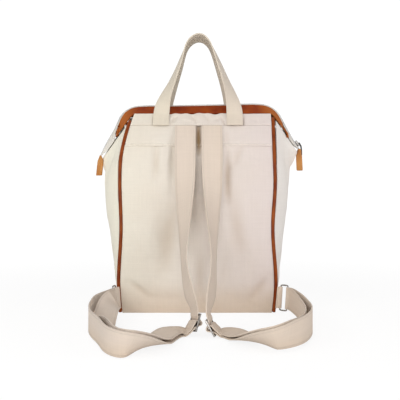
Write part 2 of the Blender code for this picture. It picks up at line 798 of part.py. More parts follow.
def strap_stations(side, name):
    """One webbing: from its seam through the adjuster, round the ring and back to the adjuster's bar."""
    across, reach, height, along, far = ADJUSTERS[name]
    hub = Vector((across * STRAP_SPACING / 2, -HALF_DEPTH - reach * STRAP_REACH, height * WEBBING_WIDTH))
    along, far = Vector(along).normalized(), Vector(far)
    far = (far - along * far.dot(along)).normalized()
    out = far.cross(along)
    near = -far
    hug = ADJUSTER_BAR * 0.7 + ADJUSTER_EASE / 2 + WEBBING / 2
    over = hug + WEBBING + ADJUSTER_EASE
    under = hug + WEBBING + ADJUSTER_EASE / 2

    through = [(-1.65, -hug * 1.3), (-1.20, -hug), (-0.90, -hug), (-0.50, -hug * 0.25), (-0.22, over * 0.86)]
    through += [(0.0, over), (0.22, over * 0.86), (0.50, -hug * 0.25), (0.90, -hug), (1.12, -hug * 1.18)]
    main = [(hub + along * ADJUSTER_PITCH * s + out * n, near) for s, n in through]
    outside = loop_stations(LOOP_OUTSIDE[name])
    layer = main + outside
    ending = [beside(layer, index, under - hug) for index in (len(main) - 1, len(main) - 2)]
    for s, n in ((0.55, -under * 0.85), (0.20, -hug * 1.1)):
        ending.append((hub + along * ADJUSTER_PITCH * s + out * n, near))
    for point in wrap(hub, -out, -along, hug, (0, 180), 6):
        ending.append((point, near))

    inner_bar, away, outer, up = ring_frame(side, name)
    bar = inner_bar + away * (RING_OPENING + WIRE)
    grip = WIRE / 2 + SEAM_GAP + WEBBING / 2
    turn_round = [(bar + away * grip * 2.6 + outer * grip * 1.02, up)]
    turn_round += [(point, up) for point in wrap(bar, outer, -away, grip, (0, 180), 8)]
    turn_round += [(bar + away * grip * 2.6 - outer * grip * 1.02, up)]

    inside = []
    for index, (middle, across) in enumerate(loop_stations(LOOP_INSIDE[name])):
        close, lying = middle, across
        if index < len(outside):
            pitch = mix(under - hug, LAYER_PITCH[name], ease(index / 5))
            close, lying = beside(layer, len(main) + index, pitch)
        apart = ease((index / 2 - PLIES_PART[name]) / 2.5)
        inside.append((mix(close, middle, apart), mix(lying, across, apart)))
    return drop_stations(name) + main + outside + turn_round + inside[::-1] + ending


for side, name in ((-1, "left"), (1, "right")):
    stations = [
        (Vector((middle.x * side, middle.y, middle.z)), Vector((across.x * side, across.y, across.z)))
        for middle, across in strap_stations(side, name)
    ]
    add_ribbon("shoulder_strap_" + name, stations, WEBBING_WIDTH, WEBBING, CREAM_WEBBING)


# Rings at the bottom corners, each held by a webbing tab sewn into the corner seam

for side, name in ((-1, "left"), (1, "right")):
    inner_bar, away, outer, up = ring_frame(side, name)

    def mirrored(point):
        return Vector((point.x * side, point.y, point.z))

    reach, rise = RING_OPENING + WIRE, WEBBING_WIDTH / 2 + RING_EASE + WIRE / 2
    bend = WIRE * 0.9
    outline = []
    for middle_v, middle_u, first in (
        (reach - bend, rise - bend, 0),
        (bend, rise - bend, 90),
        (bend, -rise + bend, 180),
        (reach - bend, -rise + bend, 270),
    ):
        for step in range(3):
            angle = math.radians(first + 45 * step)
            across = away * (middle_v + bend * math.cos(angle))
            outline.append(mirrored(inner_bar + across + up * (middle_u + bend * math.sin(angle))))
    add_wire("strap_ring_" + name, outline, WIRE / 2, NICKEL, closed=True)

    grip = WIRE / 2 + SEAM_GAP + WEBBING / 2
    foot = outward_corner(side) + away * (PIPING_RADIUS * 1.42)
    level = Vector((outer.x, outer.y, 0)).normalized()
    half = Vector((0, 0, WEBBING_WIDTH / 2))
    upright = mirrored(corner_at(side, -1, RING_HEIGHT + half.z) - corner_at(side, -1, RING_HEIGHT - half.z))
    upright.normalize()
    middle = mix(foot, inner_bar, 0.5)
    tab = [(foot + level * grip, upright), (middle + level * grip, mix(upright, up, 0.8))]
    tab += [(point, up) for point in wrap(inner_bar, outer, away, grip, (0, 180), 8)]
    tab += [(middle - level * grip, mix(upright, up, 0.8)), (foot - level * grip, upright)]
    tab = [(mirrored(point), mirrored(across)) for point, across in tab]
    add_ribbon("strap_tab_" + name, tab, WEBBING_WIDTH, WEBBING, CREAM_WEBBING, square=False)


# Adjusters: a flat three-bar frame on each strap, with two long sides

for side, name in ((-1, "left"), (1, "right")):
    across, reach, height, along, far = ADJUSTERS[name]
    hub = Vector((across * STRAP_SPACING / 2, -HALF_DEPTH - reach * STRAP_REACH, height * WEBBING_WIDTH))
    along, far = Vector(along).normalized(), Vector(far)
    far = (far - along * far.dot(along)).normalized()
    out = far.cross(along)
    half_long = WEBBING_WIDTH / 2 + ADJUSTER_EASE + ADJUSTER_SIDE
    half_short = ADJUSTER_PITCH + ADJUSTER_BAR / 2
    bar = ADJUSTER_BAR / 2
    levels = (-half_short, -half_short + 2 * bar, -bar, bar, half_short - 2 * bar, half_short)
    inside = half_long - ADJUSTER_SIDE
    spans = (-half_long, -inside, inside, half_long)
    frame = bmesh.new()
    grid = []
    for lift in (-bar, bar):
        layer = []
        for level in levels:
            points = [hub + along * level + far * span + out * lift for span in spans]
            layer.append([frame.verts.new((point.x * side, point.y, point.z)) for point in points])
        grid.append(layer)
    solid = {(row, column) for row in range(5) for column in range(3) if column != 1 or row % 2 == 0}
    for row, column in solid:
        for layer in grid:
            low, high = layer[row], layer[row + 1]
            frame.faces.new((low[column], low[column + 1], high[column + 1], high[column]))
        for cell, ends in (
            ((row - 1, column), ((row, column), (row, column + 1))),
            ((row + 1, column), ((row + 1, column), (row + 1, column + 1))),
            ((row, column - 1), ((row, column), (row + 1, column))),
            ((row, column + 1), ((row, column + 1), (row + 1, column + 1))),
        ):
            if cell not in solid:
                (a, b), (c, d) = ends
                frame.faces.new((grid[0][a][b], grid[0][c][d], grid[1][c][d], grid[1][a][b]))
    bmesh.ops.recalc_face_normals(frame, faces=frame.faces)
    frame_mesh = bpy.data.meshes.new("strap_slider_" + name)
    frame.to_mesh(frame_mesh)
    frame.free()
    add_object("strap_slider_" + name, frame_mesh, NICKEL)
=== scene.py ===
from itertools import permutations
import math

import bmesh
import bpy
import numpy as np
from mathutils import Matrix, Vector, noise
from mathutils.bvhtree import BVHTree
from mathutils.kdtree import KDTree


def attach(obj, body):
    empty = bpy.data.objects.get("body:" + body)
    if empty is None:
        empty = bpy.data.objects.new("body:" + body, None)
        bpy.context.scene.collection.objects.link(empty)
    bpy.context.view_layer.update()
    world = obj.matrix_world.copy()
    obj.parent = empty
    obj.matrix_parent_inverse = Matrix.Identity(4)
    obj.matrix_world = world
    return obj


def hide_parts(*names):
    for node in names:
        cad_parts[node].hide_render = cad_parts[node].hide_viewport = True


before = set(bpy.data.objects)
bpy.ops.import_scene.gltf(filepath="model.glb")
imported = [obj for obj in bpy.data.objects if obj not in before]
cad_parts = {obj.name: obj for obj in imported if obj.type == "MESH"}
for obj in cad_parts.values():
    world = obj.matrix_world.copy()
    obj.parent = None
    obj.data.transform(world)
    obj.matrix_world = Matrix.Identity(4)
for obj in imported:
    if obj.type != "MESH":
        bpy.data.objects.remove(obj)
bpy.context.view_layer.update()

# Camera, light and floor
# The backpack stands on a plain white floor in a white room, with four broad soft lamps round and
# above it. It is seen level from behind, at about the middle of its height.

EYE = (0.0045, -1.180, 0.203)
AIM = (0, 0, 0.2)
WHITE = 1.05


def add_node(tree, kind, inputs=None, **settings):
    """A shader node with its settings, and each input set or linked."""
    node = tree.nodes.new("ShaderNode" + kind)
    for key, value in settings.items():
        setattr(node, key, value)
    for key, value in (inputs or {}).items():
        if isinstance(value, bpy.types.NodeSocket):
            tree.links.new(value, node.inputs[key])
        else:
            node.inputs[key].default_value = value
    return node


def new_material(name):
    """A material, its node tree and its shader."""
    made = bpy.data.materials.new(name)
    made.use_nodes = True
    return made, made.node_tree, made.node_tree.nodes["Principled BSDF"]


eye = bpy.data.objects.new("camera", bpy.data.cameras.new("camera"))
eye.data.sensor_width = 36.0
eye.data.lens = 55.1
eye.location = EYE
eye.rotation_euler = (math.radians(90), 0, 0)
bpy.context.scene.collection.objects.link(eye)
bpy.context.scene.camera = eye
bpy.context.scene.view_settings.view_transform = "Standard"

bpy.ops.object.select_all(action="DESELECT")
bpy.ops.mesh.primitive_plane_add(size=14.0, location=(0, 0, 0))
floor = bpy.context.object
floor.name = "floor"
PAPER, tree, shader = new_material("white_floor")
shader.inputs["Base Color"].default_value = (0.93, 0.93, 0.93, 1)
shader.inputs["Roughness"].default_value = 0.9
place = add_node(tree, "TexCoord")
away = add_node(tree, "VectorMath", {0: place.outputs["Object"]}, operation="LENGTH")
far = add_node(tree, "MapRange", {"Value": away.outputs["Value"], 1: 0.35, 2: 1.6, 3: 0.82, 4: 1.0})
ray = add_node(tree, "LightPath")
share = add_node(tree, "Math", {0: far.outputs[0], 1: ray.outputs["Is Camera Ray"]}, operation="MULTIPLY")
glow = add_node(tree, "Emission", {"Strength": WHITE})
pick = add_node(tree, "MixShader", {0: share.outputs[0], 1: shader.outputs[0], 2: glow.outputs[0]})
tree.links.new(pick.outputs[0], tree.nodes["Material Output"].inputs["Surface"])
floor.data.materials.append(PAPER)

room = bpy.data.worlds.new("white_room")
room.use_nodes = True
bpy.context.scene.world = room
tree = room.node_tree
lit = tree.nodes["Background"]
lit.inputs["Color"].default_value = (1.0, 0.99, 0.985, 1)
lit.inputs["Strength"].default_value = 0.4685
seen = add_node(tree, "Background", {"Color": (1, 1, 1, 1), "Strength": WHITE})
ray = add_node(tree, "LightPath")
pick = add_node(tree, "MixShader", {0: ray.outputs["Is Camera Ray"], 1: lit.outputs[0], 2: seen.outputs[0]})
tree.links.new(pick.outputs[0], tree.nodes["World Output"].inputs["Surface"])

for name, place, size, power, colour in (
    ("key", (-1.30, -1.20, 1.00), 0.8, 7.0, (1.0, 0.98, 0.94)),
    ("fill", (1.45, -1.00, 0.60), 1.0, 6.5, (1.0, 0.96, 0.96)),
    ("front", (-0.20, -2.00, 0.40), 1.2, 17.0, (1.0, 0.98, 0.96)),
    ("top", (0.00, -0.20, 2.20), 1.4, 2.0, (1.0, 1.0, 1.0)),
):
    lamp = bpy.data.lights.new(name, "AREA")
    lamp.size = size
    lamp.energy = power
    lamp.color = colour
    holder = bpy.data.objects.new(name, lamp)
    holder.location = place
    holder.rotation_euler = (Vector(AIM) - holder.location).to_track_quat("-Z", "Y").to_euler()
    bpy.context.scene.collection.objects.link(holder)


# Back panel
# One flat cut of heavy cream cotton canvas with a plain weave, sewn into the corner seams and under the
# yoke. It hangs in soft upright folds beside the straps and gathers towards its two lower corners.

WELD = 0.00002
CORNER = math.radians(55)
CUT_EDGE = 0.0005
FOLDED_EDGE = 0.0008


def copy_of(node, name):
    """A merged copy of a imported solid, with its triangles joined into quads."""
    bpy.ops.object.select_all(action="DESELECT")
    piece = bpy.data.objects.new(name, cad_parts[node].data.copy())
    piece.data.materials.clear()
    bpy.context.scene.collection.objects.link(piece)
    bpy.context.view_layer.objects.active = piece
    piece.select_set(True)
    bpy.ops.object.mode_set(mode="EDIT")
    bpy.ops.mesh.select_all(action="SELECT")
    bpy.ops.mesh.remove_doubles(threshold=WELD)
    bpy.ops.mesh.tris_convert_to_quads(face_threshold=1.0, shape_threshold=1.4)
    bpy.ops.object.mode_set(mode="OBJECT")
    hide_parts(node)
    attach(piece, "root")
    return piece


def apply_modifier(piece, kind, **settings):
    bpy.ops.object.select_all(action="DESELECT")
    bpy.context.view_layer.objects.active = piece
    piece.select_set(True)
    made = piece.modifiers.new(kind.lower(), kind)
    for key, value in settings.items():
        setattr(made, key, value)
    bpy.ops.object.modifier_apply(modifier=made.name)


def soften(piece, levels, edge, segments=2):
    """Rounds a cut piece: its faces are subdivided between kept edges, which then get a small round."""
    shape = bmesh.new()
    shape.from_mesh(piece.data)
    crease = shape.edges.layers.float.new("crease_edge")
    for line in shape.edges:
        if len(line.link_faces) == 2 and line.calc_face_angle() > CORNER:
            line[crease] = 1.0
    shape.to_mesh(piece.data)
    shape.free()
    apply_modifier(piece, "SUBSURF", levels=levels, render_levels=levels)
    if edge:
        apply_modifier(piece, "BEVEL", width=edge, segments=segments, limit_method="ANGLE", angle_limit=CORNER)
    bpy.ops.object.shade_smooth_by_angle(angle=math.radians(60))


def points_of(piece):
    points = np.empty(len(piece.data.vertices) * 3)
    piece.data.vertices.foreach_get("co", points)
    return points.reshape(-1, 3)


def set_points(piece, points):
    piece.data.vertices.foreach_set("co", points.ravel())
    piece.data.update()


# How deep a fold sinks before its painted shade is full, and how that shade grows with depth.
FULL_TUCK = 0.0125
TUCK_POWER = 2.0


def press_folds(piece, folds, out):
    """Presses folds into a wall along lines of (across, up) to (across, up), and stores how far each point
    sinks as its tuck, which the cloth materials darken as painted shade.
    """
    points = points_of(piece)
    out = np.array(out, float)
    flat = points[:, [1, 2]] if abs(out[0]) > 0.5 else points[:, [0, 2]]
    sunk = np.zeros(len(points))
    for start, end, breadth, depth in folds:
        start, end = np.array(start), np.array(end)
        line = end - start
        share = np.clip((flat - start) @ line / (line @ line), 0, 1)
        away = np.linalg.norm(flat - start - share[:, None] * line, axis=1)
        taper = 0.35 + 0.65 * np.sin(np.pi * np.clip(share, 0.02, 0.98))
        sunk += depth * taper * np.exp(-((away / breadth) ** 2))
    set_points(piece, points - out * sunk[:, None])
    tuck = piece.data.attributes.new("tuck", "FLOAT", "POINT")
    tuck.data.foreach_set("value", np.clip(sunk / FULL_TUCK, 0, 1) ** TUCK_POWER)


def crumple(piece, out, size, depth, seed):
    """Lets cloth lie slightly uneven: soft waves of a size, that only sink in."""
    points = points_of(piece)
    shift = Vector((seed * 3.1, seed * 1.7, seed * 2.3))
    waves = [noise.fractal(Vector(p) / size + shift, 0.8, 2.0, 3) for p in points]
    points -= np.array(out, float) * (np.clip(np.array(waves) + 0.35, 0, 1.2) * depth)[:, None]
    set_points(piece, points)


def calc(tree, operation, first, second=0.0):
    return add_node(tree, "Math", {0: first, 1: second}, operation=operation).outputs[0]


def mix_colour(tree, factor, first, second, blend="MIX"):
    mixed = add_node(tree, "Mix", {0: factor, 6: first, 7: second}, data_type="RGBA", blend_type=blend)
    return mixed.outputs[2]


def new_group(name, inputs, outputs):
    tree = bpy.data.node_groups.new(name, "ShaderNodeTree")
    for socket, kind in inputs:
        tree.interface.new_socket(socket, in_out="INPUT", socket_type="NodeSocket" + kind)
    for socket, kind in outputs:
        tree.interface.new_socket(socket, in_out="OUTPUT", socket_type="NodeSocket" + kind)
    return tree, tree.nodes.new("NodeGroupInput"), tree.nodes.new("NodeGroupOutput")


def use_group(tree, group, inputs):
    return add_node(tree, "Group", inputs, node_tree=group)


# Plain weave: threads over and under in turn, with thicker and thinner yarns running both ways
WEAVE, given, result = new_group(
    "plain_weave",
    [("Vector", "Vector"), ("Threads", "Float")],
    [("Height", "Float"), ("Yarns", "Float")],
)
laid = add_node(
    WEAVE, "VectorMath", {0: given.outputs["Vector"], 3: given.outputs["Threads"]}, operation="SCALE"
)
part = add_node(WEAVE, "SeparateXYZ", {0: laid.outputs[0]})
warp = calc(WEAVE, "ABSOLUTE", calc(WEAVE, "SINE", calc(WEAVE, "MULTIPLY", part.outputs[0], math.pi)))
weft = calc(WEAVE, "ABSOLUTE", calc(WEAVE, "SINE", calc(WEAVE, "MULTIPLY", part.outputs[1], math.pi)))
flat = add_node(WEAVE, "CombineXYZ", {0: part.outputs[0], 1: part.outputs[1], 2: 0.5})
over = add_node(WEAVE, "TexChecker", {"Vector": flat.outputs[0], "Scale": 1.0})
turned = add_node(WEAVE, "Mix", {0: over.outputs["Fac"], 2: warp, 3: weft})
WEAVE.links.new(turned.outputs[0], result.inputs["Height"])
yarns = []
for stretch in ((0.02, 0.7, 1), (0.7, 0.02, 1)):
    along = add_node(WEAVE, "VectorMath", {0: flat.outputs[0], 1: stretch}, operation="MULTIPLY")
    slub = add_node(WEAVE, "TexNoise", {"Vector": along.outputs[0], "Scale": 1.0, "Detail": 2.0})
    yarns.append(slub.outputs["Fac"])
WEAVE.links.new(calc(WEAVE, "MULTIPLY", calc(WEAVE, "ADD", *yarns), 0.5), result.inputs["Yarns"])

# Handling and floor shade: faint blotches all over, and a browner tone near the floor that is partly soil
# where a bag is set down and partly painted shade on the lower walls
SOIL_AND_SHADE, given, result = new_group(
    "handling_and_floor_shade",
    [("Vector", "Vector"), ("Clean", "Color"), ("SoiledShaded", "Color"), ("Reach", "Float")],
    [("Color", "Color")],
)
high = add_node(SOIL_AND_SHADE, "SeparateXYZ", {0: given.outputs["Vector"]})
blotch = add_node(SOIL_AND_SHADE, "TexNoise", {"Vector": given.outputs["Vector"], "Scale": 9.0, "Detail": 4.0})
# Partly soil and partly painted shade: the colour turns browner towards the floor, below reach.
near = add_node(
    SOIL_AND_SHADE, "MapRange", {"Value": high.outputs[2], 1: 0.0, 2: given.outputs["Reach"], 3: 1.0, 4: 0.0},
    interpolation_type="SMOOTHSTEP",
)
patchy = calc(SOIL_AND_SHADE, "MULTIPLY", near.outputs[0], calc(SOIL_AND_SHADE, "ADD", blotch.outputs["Fac"], 0.35))
cloudy = add_node(SOIL_AND_SHADE, "MapRange", {"Value": blotch.outputs["Fac"], 1: 0.35, 2: 0.75, 3: 0.0, 4: 0.22})
tone = calc(SOIL_AND_SHADE, "MAXIMUM", patchy, cloudy.outputs[0])
toned = mix_colour(SOIL_AND_SHADE, tone, given.outputs["Clean"], given.outputs["SoiledShaded"])
SOIL_AND_SHADE.links.new(toned, result.inputs["Color"])


# Half the width over which the painted left-to-right light tint runs.
BODY_SIDE = 0.13
SELVEDGE = 0.0158
SELVEDGE_STEP = 0.0008
SELVEDGE_GROOVE = 0.0009
# Painted shade: the brown put into the deepest folds, where shadow and bounced light fall.
TUCK_SHADE = (0.40, 0.27, 0.15, 1)


def cloth_material(name, spread, threads, left, right, soiled_shaded, reach, relief, uv=False):
    """Cream cotton whose threads run in the two directions of spread, tinted from left to right as painted
    light, browner from the floor up to reach with soil and painted shade, and darker in its tucks as painted
    shade.
    """
    made, tree, shader = new_material(name)
    place = add_node(tree, "TexCoord")
    part = add_node(tree, "SeparateXYZ", {0: place.outputs["Object"]})
    if uv:
        flat = place.outputs["UV"]
    else:
        first, second = (part.outputs[way] for way in spread)
        flat = add_node(tree, "CombineXYZ", {0: first, 1: second, 2: 0.0}).outputs[0]
    weave = use_group(tree, WEAVE, {"Vector": flat, "Threads": threads})
    # Painted light: the colour runs from the left tint to the right tint across the bag, for the warmer light
    # on its left and the cooler light on its right.
    side = add_node(tree, "MapRange", {"Value": part.outputs[0], 1: -BODY_SIDE, 2: BODY_SIDE, 3: 0.0, 4: 1.0})
    clean = mix_colour(tree, side.outputs[0], left, right)
    toned_colour = use_group(
        tree, SOIL_AND_SHADE, {"Vector": place.outputs["Object"], "Clean": clean, "SoiledShaded": soiled_shaded, "Reach": reach}
    )
    yarn = add_node(tree, "MapRange", {"Value": weave.outputs["Yarns"], 1: 0.35, 2: 0.65, 3: 0.97, 4: 1.02})
    sunk = add_node(tree, "MapRange", {"Value": weave.outputs["Height"], 1: 0.0, 2: 0.6, 3: 0.93, 4: 1.0})
    shade = calc(tree, "MULTIPLY", yarn.outputs[0], sunk.outputs[0])
    raised = calc(tree, "ADD", weave.outputs["Height"], calc(tree, "MULTIPLY", weave.outputs["Yarns"], 0.8))
    if uv:
        across = calc(tree, "ABSOLUTE", add_node(tree, "SeparateXYZ", {0: flat}).outputs[0])
        past = calc(tree, "ABSOLUTE", calc(tree, "SUBTRACT", across, SELVEDGE))
        edge = add_node(
            tree, "MapRange", {"Value": across, 1: SELVEDGE, 2: SELVEDGE + SELVEDGE_STEP, 3: 0.0, 4: 1.0}
        )
        groove = add_node(tree, "MapRange", {"Value": past, 1: 0.0, 2: SELVEDGE_GROOVE, 3: 0.86, 4: 1.0})
        shade = calc(tree, "MULTIPLY", shade, groove.outputs[0])
        shade = calc(tree, "ADD", shade, calc(tree, "MULTIPLY", edge.outputs[0], -0.05))
        raised = calc(tree, "ADD", raised, calc(tree, "MULTIPLY", groove.outputs[0], 1.2))
    grey = add_node(tree, "CombineColor", {0: shade, 1: shade, 2: shade})
    # Painted shade: deeper tucks turn towards the tuck shade colour.
    tuck = add_node(tree, "Attribute", attribute_name="tuck")
    tuck_shaded = mix_colour(tree, tuck.outputs["Fac"], toned_colour.outputs[0], TUCK_SHADE)
    tree.links.new(mix_colour(tree, 1.0, tuck_shaded, grey.outputs[0], "MULTIPLY"), shader.inputs["Base Color"])
    lump = add_node(tree, "Bump", {"Strength": 0.5, "Distance": relief, "Height": raised})
    tree.links.new(lump.outputs[0], shader.inputs["Normal"])
    shader.inputs["Roughness"].default_value = 0.92
    shader.inputs["Sheen Weight"].default_value = 0.12
    shader.inputs["Specular IOR Level"].default_value = 0.25
    return made


CANVAS_THREADS = 1250.0
CANVAS_RELIEF = 0.00013
# Painted light: the left canvas tint is warmer and lighter and the right one pinker, for how the lamps fall on
# each side.
CANVAS_LEFT = (0.775, 0.735, 0.640, 1)
CANVAS_RIGHT = (0.715, 0.640, 0.615, 1)
# Partly soil and partly painted shade: the browner canvas tone near the floor.
CANVAS_SOIL_AND_SHADE = (0.67, 0.555, 0.445, 1)
WALL_CANVAS = cloth_material(
    "wall_canvas", (0, 2), CANVAS_THREADS, CANVAS_LEFT, CANVAS_RIGHT, CANVAS_SOIL_AND_SHADE,
    reach=0.075, relief=CANVAS_RELIEF,
)

TO_BACK = (0, -1, 0)
TO_FRONT = (0, 1, 0)
PANEL_FOLDS = [
    # from (across, up), to (across, up), breadth, depth
    ((-0.0750, 0.304), (-0.0750, 0.240), 0.0065, 0.0052),
    ((-0.0600, 0.300), (-0.0620, 0.270), 0.0050, 0.0014),
    ((-0.0450, 0.336), (-0.0455, 0.225), 0.0070, 0.0052),
    ((-0.0400, 0.215), (-0.0520, 0.080), 0.0150, 0.0058),
    ((-0.0660, 0.200), (-0.0620, 0.060), 0.0140, 0.0040),
    ((0.0548, 0.290), (0.0538, 0.200), 0.0070, 0.0080),
    ((0.0800, 0.304), (0.0640, 0.262), 0.0070, 0.0046),
    ((0.0520, 0.336), (0.0520, 0.300), 0.0050, 0.0030),
    ((0.0620, 0.210), (0.0760, 0.095), 0.0150, 0.0056),
    ((0.0500, 0.120), (0.0440, 0.040), 0.0100, 0.0030),
    ((0.0015, 0.352), (0.0020, 0.290), 0.0060, 0.0130),
    ((0.0030, 0.310), (0.0035, 0.225), 0.0070, 0.0050),
    ((0.0040, 0.110), (0.0036, 0.022), 0.0085, 0.0056),
    ((-0.0200, 0.210), (-0.0260, 0.090), 0.0060, 0.0034),
    ((0.0180, 0.160), (0.0250, 0.070), 0.0060, 0.0030),
    ((-0.1220, 0.056), (-0.0880, 0.030), 0.0065, 0.0048),
    ((-0.0880, 0.030), (-0.0200, 0.026), 0.0090, 0.0030),
    ((0.1260, 0.066), (0.0960, 0.022), 0.0100, 0.0056),
    ((0.0960, 0.024), (0.0450, 0.028), 0.0100, 0.0020),
    ((-0.1050, 0.200), (-0.1000, 0.130), 0.0200, 0.0016),
    ((0.1050, 0.230), (0.1120, 0.120), 0.0200, 0.0018),
]

back_panel = copy_of("back_panel", "back_panel_canvas")
soften(back_panel, 3, CUT_EDGE)
press_folds(back_panel, PANEL_FOLDS, TO_BACK)
crumple(back_panel, TO_BACK, size=0.045, depth=0.0012, seed=1)
crumple(back_panel, TO_BACK, size=0.014, depth=0.0004, seed=2)
back_panel.data.materials.append(WALL_CANVAS)


# Yoke and hem of the back
# The yoke is a strip of the same canvas lapped over the panel and topstitched in broken light thread.
# The hem above it is folded double, catches the straps and handles under its edge, and puckers there.

LOOK_FROM = 0.08


def sew(name, places, length, thickness, finish):
    """Stitches of thread, one at each place of (point, along, out), half sunk into what they hold."""
    bpy.ops.object.select_all(action="DESELECT")
    bpy.ops.mesh.primitive_uv_sphere_add(segments=6, ring_count=4, radius=0.5)
    row = bpy.context.object
    row.name = name
    stitch = points_of(row)
    faces = [list(face.vertices) for face in row.data.polygons]
    corners, sides = [], []
    for point, along, out in places:
        across = along.cross(out).normalized()
        turn = np.array([across * thickness, out * thickness, along * length])
        sides += [[index + len(corners) for index in face] for face in faces]
        corners += (stitch @ turn + np.array(point + out * thickness * 0.2)).tolist()
    old = row.data
    row.data = bpy.data.meshes.new(name)
    bpy.data.meshes.remove(old)
    row.data.from_pydata(corners, [], sides)
    row.data.shade_smooth()
    row.data.materials.append(finish)
    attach(row, "root")
    return row


def surface_of(piece):
    """A piece's faces, for rays and nearest points."""
    return BVHTree.FromPolygons(
        [vert.co.copy() for vert in piece.data.vertices], [tuple(face.vertices) for face in piece.data.polygons]
    )


def seam_places(piece, left, right, height, toward, pitch):
    """Where stitches lie on a piece along one height, a pitch apart, looking toward it."""
    cloth, toward = surface_of(piece), Vector(toward)
    start, end = Vector((left, 0, height)), Vector((right, 0, height))
    length, travelled, found = (end - start).length, 0.0, []
    while travelled < length:
        mark = start.lerp(end, travelled / length)
        point, out, _, _ = cloth.ray_cast(mark - toward * LOOK_FROM, toward)
        if point is not None:
            found.append((point, out))
        travelled += pitch
    places = []
    for i, (point, out) in enumerate(found):
        along = found[min(i + 1, len(found) - 1)][0] - found[max(i - 1, 0)][0]
        if along.length > 0:
            along -= out * along.dot(out)
            places.append((point, along.normalized(), out))
    return places


# Painted light: a warmer thread tint on the left and a pinker one on the right, as on the canvas.
THREAD_LEFT = (0.90, 0.84, 0.73, 1)
THREAD_RIGHT = (0.90, 0.82, 0.74, 1)
THREAD = cloth_material(
    "cotton_thread", (0, 2), 2500.0, THREAD_LEFT, THREAD_RIGHT, CANVAS_SOIL_AND_SHADE, reach=0.02, relief=0.0001
)

YOKE_SEAM = 0.301
HEM_SEAM = 0.341
THREAD_ABOVE = 0.003
LAP_BREADTH = 0.005
LAP_RISE = 0.0009
PUCKER_DEPTH = 0.0005
PUCKER_PITCH = 0.0105
GROOVE_ABOVE = 0.0062
GROOVE_BREADTH = 0.0013
GROOVE_DEPTH = 0.0011

yoke = copy_of("back_yoke", "back_yoke_canvas")
soften(yoke, 3, CUT_EDGE)
points = points_of(yoke)
lap = np.exp(-(((points[:, 2] - YOKE_SEAM) / LAP_BREADTH) ** 2))
groove = np.exp(-(((points[:, 2] - YOKE_SEAM - GROOVE_ABOVE) / GROOVE_BREADTH) ** 2))
points[:, 1] -= LAP_RISE * lap
points[:, 1] += PUCKER_DEPTH * lap * np.sin(points[:, 0] * 2 * np.pi / PUCKER_PITCH)
points[:, 1] += GROOVE_DEPTH * groove
set_points(yoke, points)
press_folds(yoke, PANEL_FOLDS, TO_BACK)
crumple(yoke, TO_BACK, size=0.030, depth=0.0008, seed=3)
yoke.data.materials.append(WALL_CANVAS)

hem = copy_of("back_hem", "back_hem_canvas")
soften(hem, 3, FOLDED_EDGE)
HEM_FOLDS = [
    # from (across, up), to (across, up), breadth, depth
    ((-0.0815, 0.358), (-0.0805, 0.338), 0.0022, 0.0036),
    ((-0.0500, 0.346), (-0.0390, 0.360), 0.0032, 0.0038),
    ((-0.0300, 0.352), (-0.0120, 0.346), 0.0034, 0.0020),
    ((-0.0120, 0.362), (0.0010, 0.343), 0.0034, 0.0034),
    ((0.0150, 0.362), (0.0240, 0.346), 0.0034, 0.0032),
    ((0.0300, 0.350), (0.0420, 0.358), 0.0036, 0.0028),
    ((0.0440, 0.358), (0.0530, 0.340), 0.0030, 0.0040),
    ((0.0845, 0.356), (0.0840, 0.338), 0.0022, 0.0038),
    ((-0.1100, 0.356), (-0.1000, 0.344), 0.0050, 0.0014),
    ((0.1050, 0.356), (0.1150, 0.344), 0.0050, 0.0016),
]
HEM_WAVES = [
    # depth, pace, start
    (0.0010, 131, 0.0),
    (0.0007, 293, 1.3),
]
HEM_WAVE_FROM, HEM_WAVE_REACH, HEM_WAVE_SIDE = 0.350, 0.010, 0.075
points = points_of(hem)
upper = np.clip((points[:, 2] - HEM_WAVE_FROM) / HEM_WAVE_REACH, 0, 1)
wavy = upper * np.exp(-((points[:, 0] / HEM_WAVE_SIDE) ** 6))
points[:, 2] += wavy * sum(depth * np.sin(points[:, 0] * pace + start) for depth, pace, start in HEM_WAVES)
set_points(hem, points)
press_folds(hem, HEM_FOLDS, TO_BACK)
crumple(hem, TO_BACK, size=0.020, depth=0.0007, seed=4)
hem.data.materials.append(WALL_CANVAS)

yoke_seam = seam_places(yoke, -0.129, 0.134, YOKE_SEAM + THREAD_ABOVE, TO_FRONT, pitch=0.0046)
sew("yoke_stitches", yoke_seam, length=0.0036, thickness=0.0012, finish=THREAD)
hem_seam = seam_places(hem, -0.121, 0.136, HEM_SEAM + THREAD_ABOVE, TO_FRONT, pitch=0.0040)
sew("hem_stitches", hem_seam, length=0.0032, thickness=0.0008, finish=THREAD)


# Front panel and its hem
# The same canvas without a yoke, hanging in two or three slack folds. Its hem is folded and stitched like
# that of the back, and catches the feet of the front handle.

FRONT_FOLDS = [
    # from (across, up), to (across, up), breadth, depth
    ((-0.060, 0.320), (-0.052, 0.180), 0.0140, 0.0030),
    ((0.072, 0.300), (0.050, 0.140), 0.0160, 0.0034),
    ((0.010, 0.150), (-0.020, 0.040), 0.0180, 0.0028),
    ((0.118, 0.070), (0.080, 0.020), 0.0090, 0.0030),
    ((-0.118, 0.070), (-0.085, 0.020), 0.0090, 0.0030),
]

front_panel = copy_of("front_panel", "front_panel_canvas")
soften(front_panel, 3, CUT_EDGE)
press_folds(front_panel, FRONT_FOLDS, TO_FRONT)
crumple(front_panel, TO_FRONT, size=0.050, depth=0.0014, seed=5)
front_panel.data.materials.append(WALL_CANVAS)

front_hem = copy_of("front_hem", "front_hem_canvas")
soften(front_hem, 3, FOLDED_EDGE)
crumple(front_hem, TO_FRONT, size=0.020, depth=0.0007, seed=6)
front_hem.data.materials.append(WALL_CANVAS)
front_seam = seam_places(front_hem, -0.134, 0.134, HEM_SEAM + THREAD_ABOVE, TO_BACK, pitch=0.0040)
sew("front_hem_stitches", front_seam, length=0.0032, thickness=0.0008, finish=THREAD)
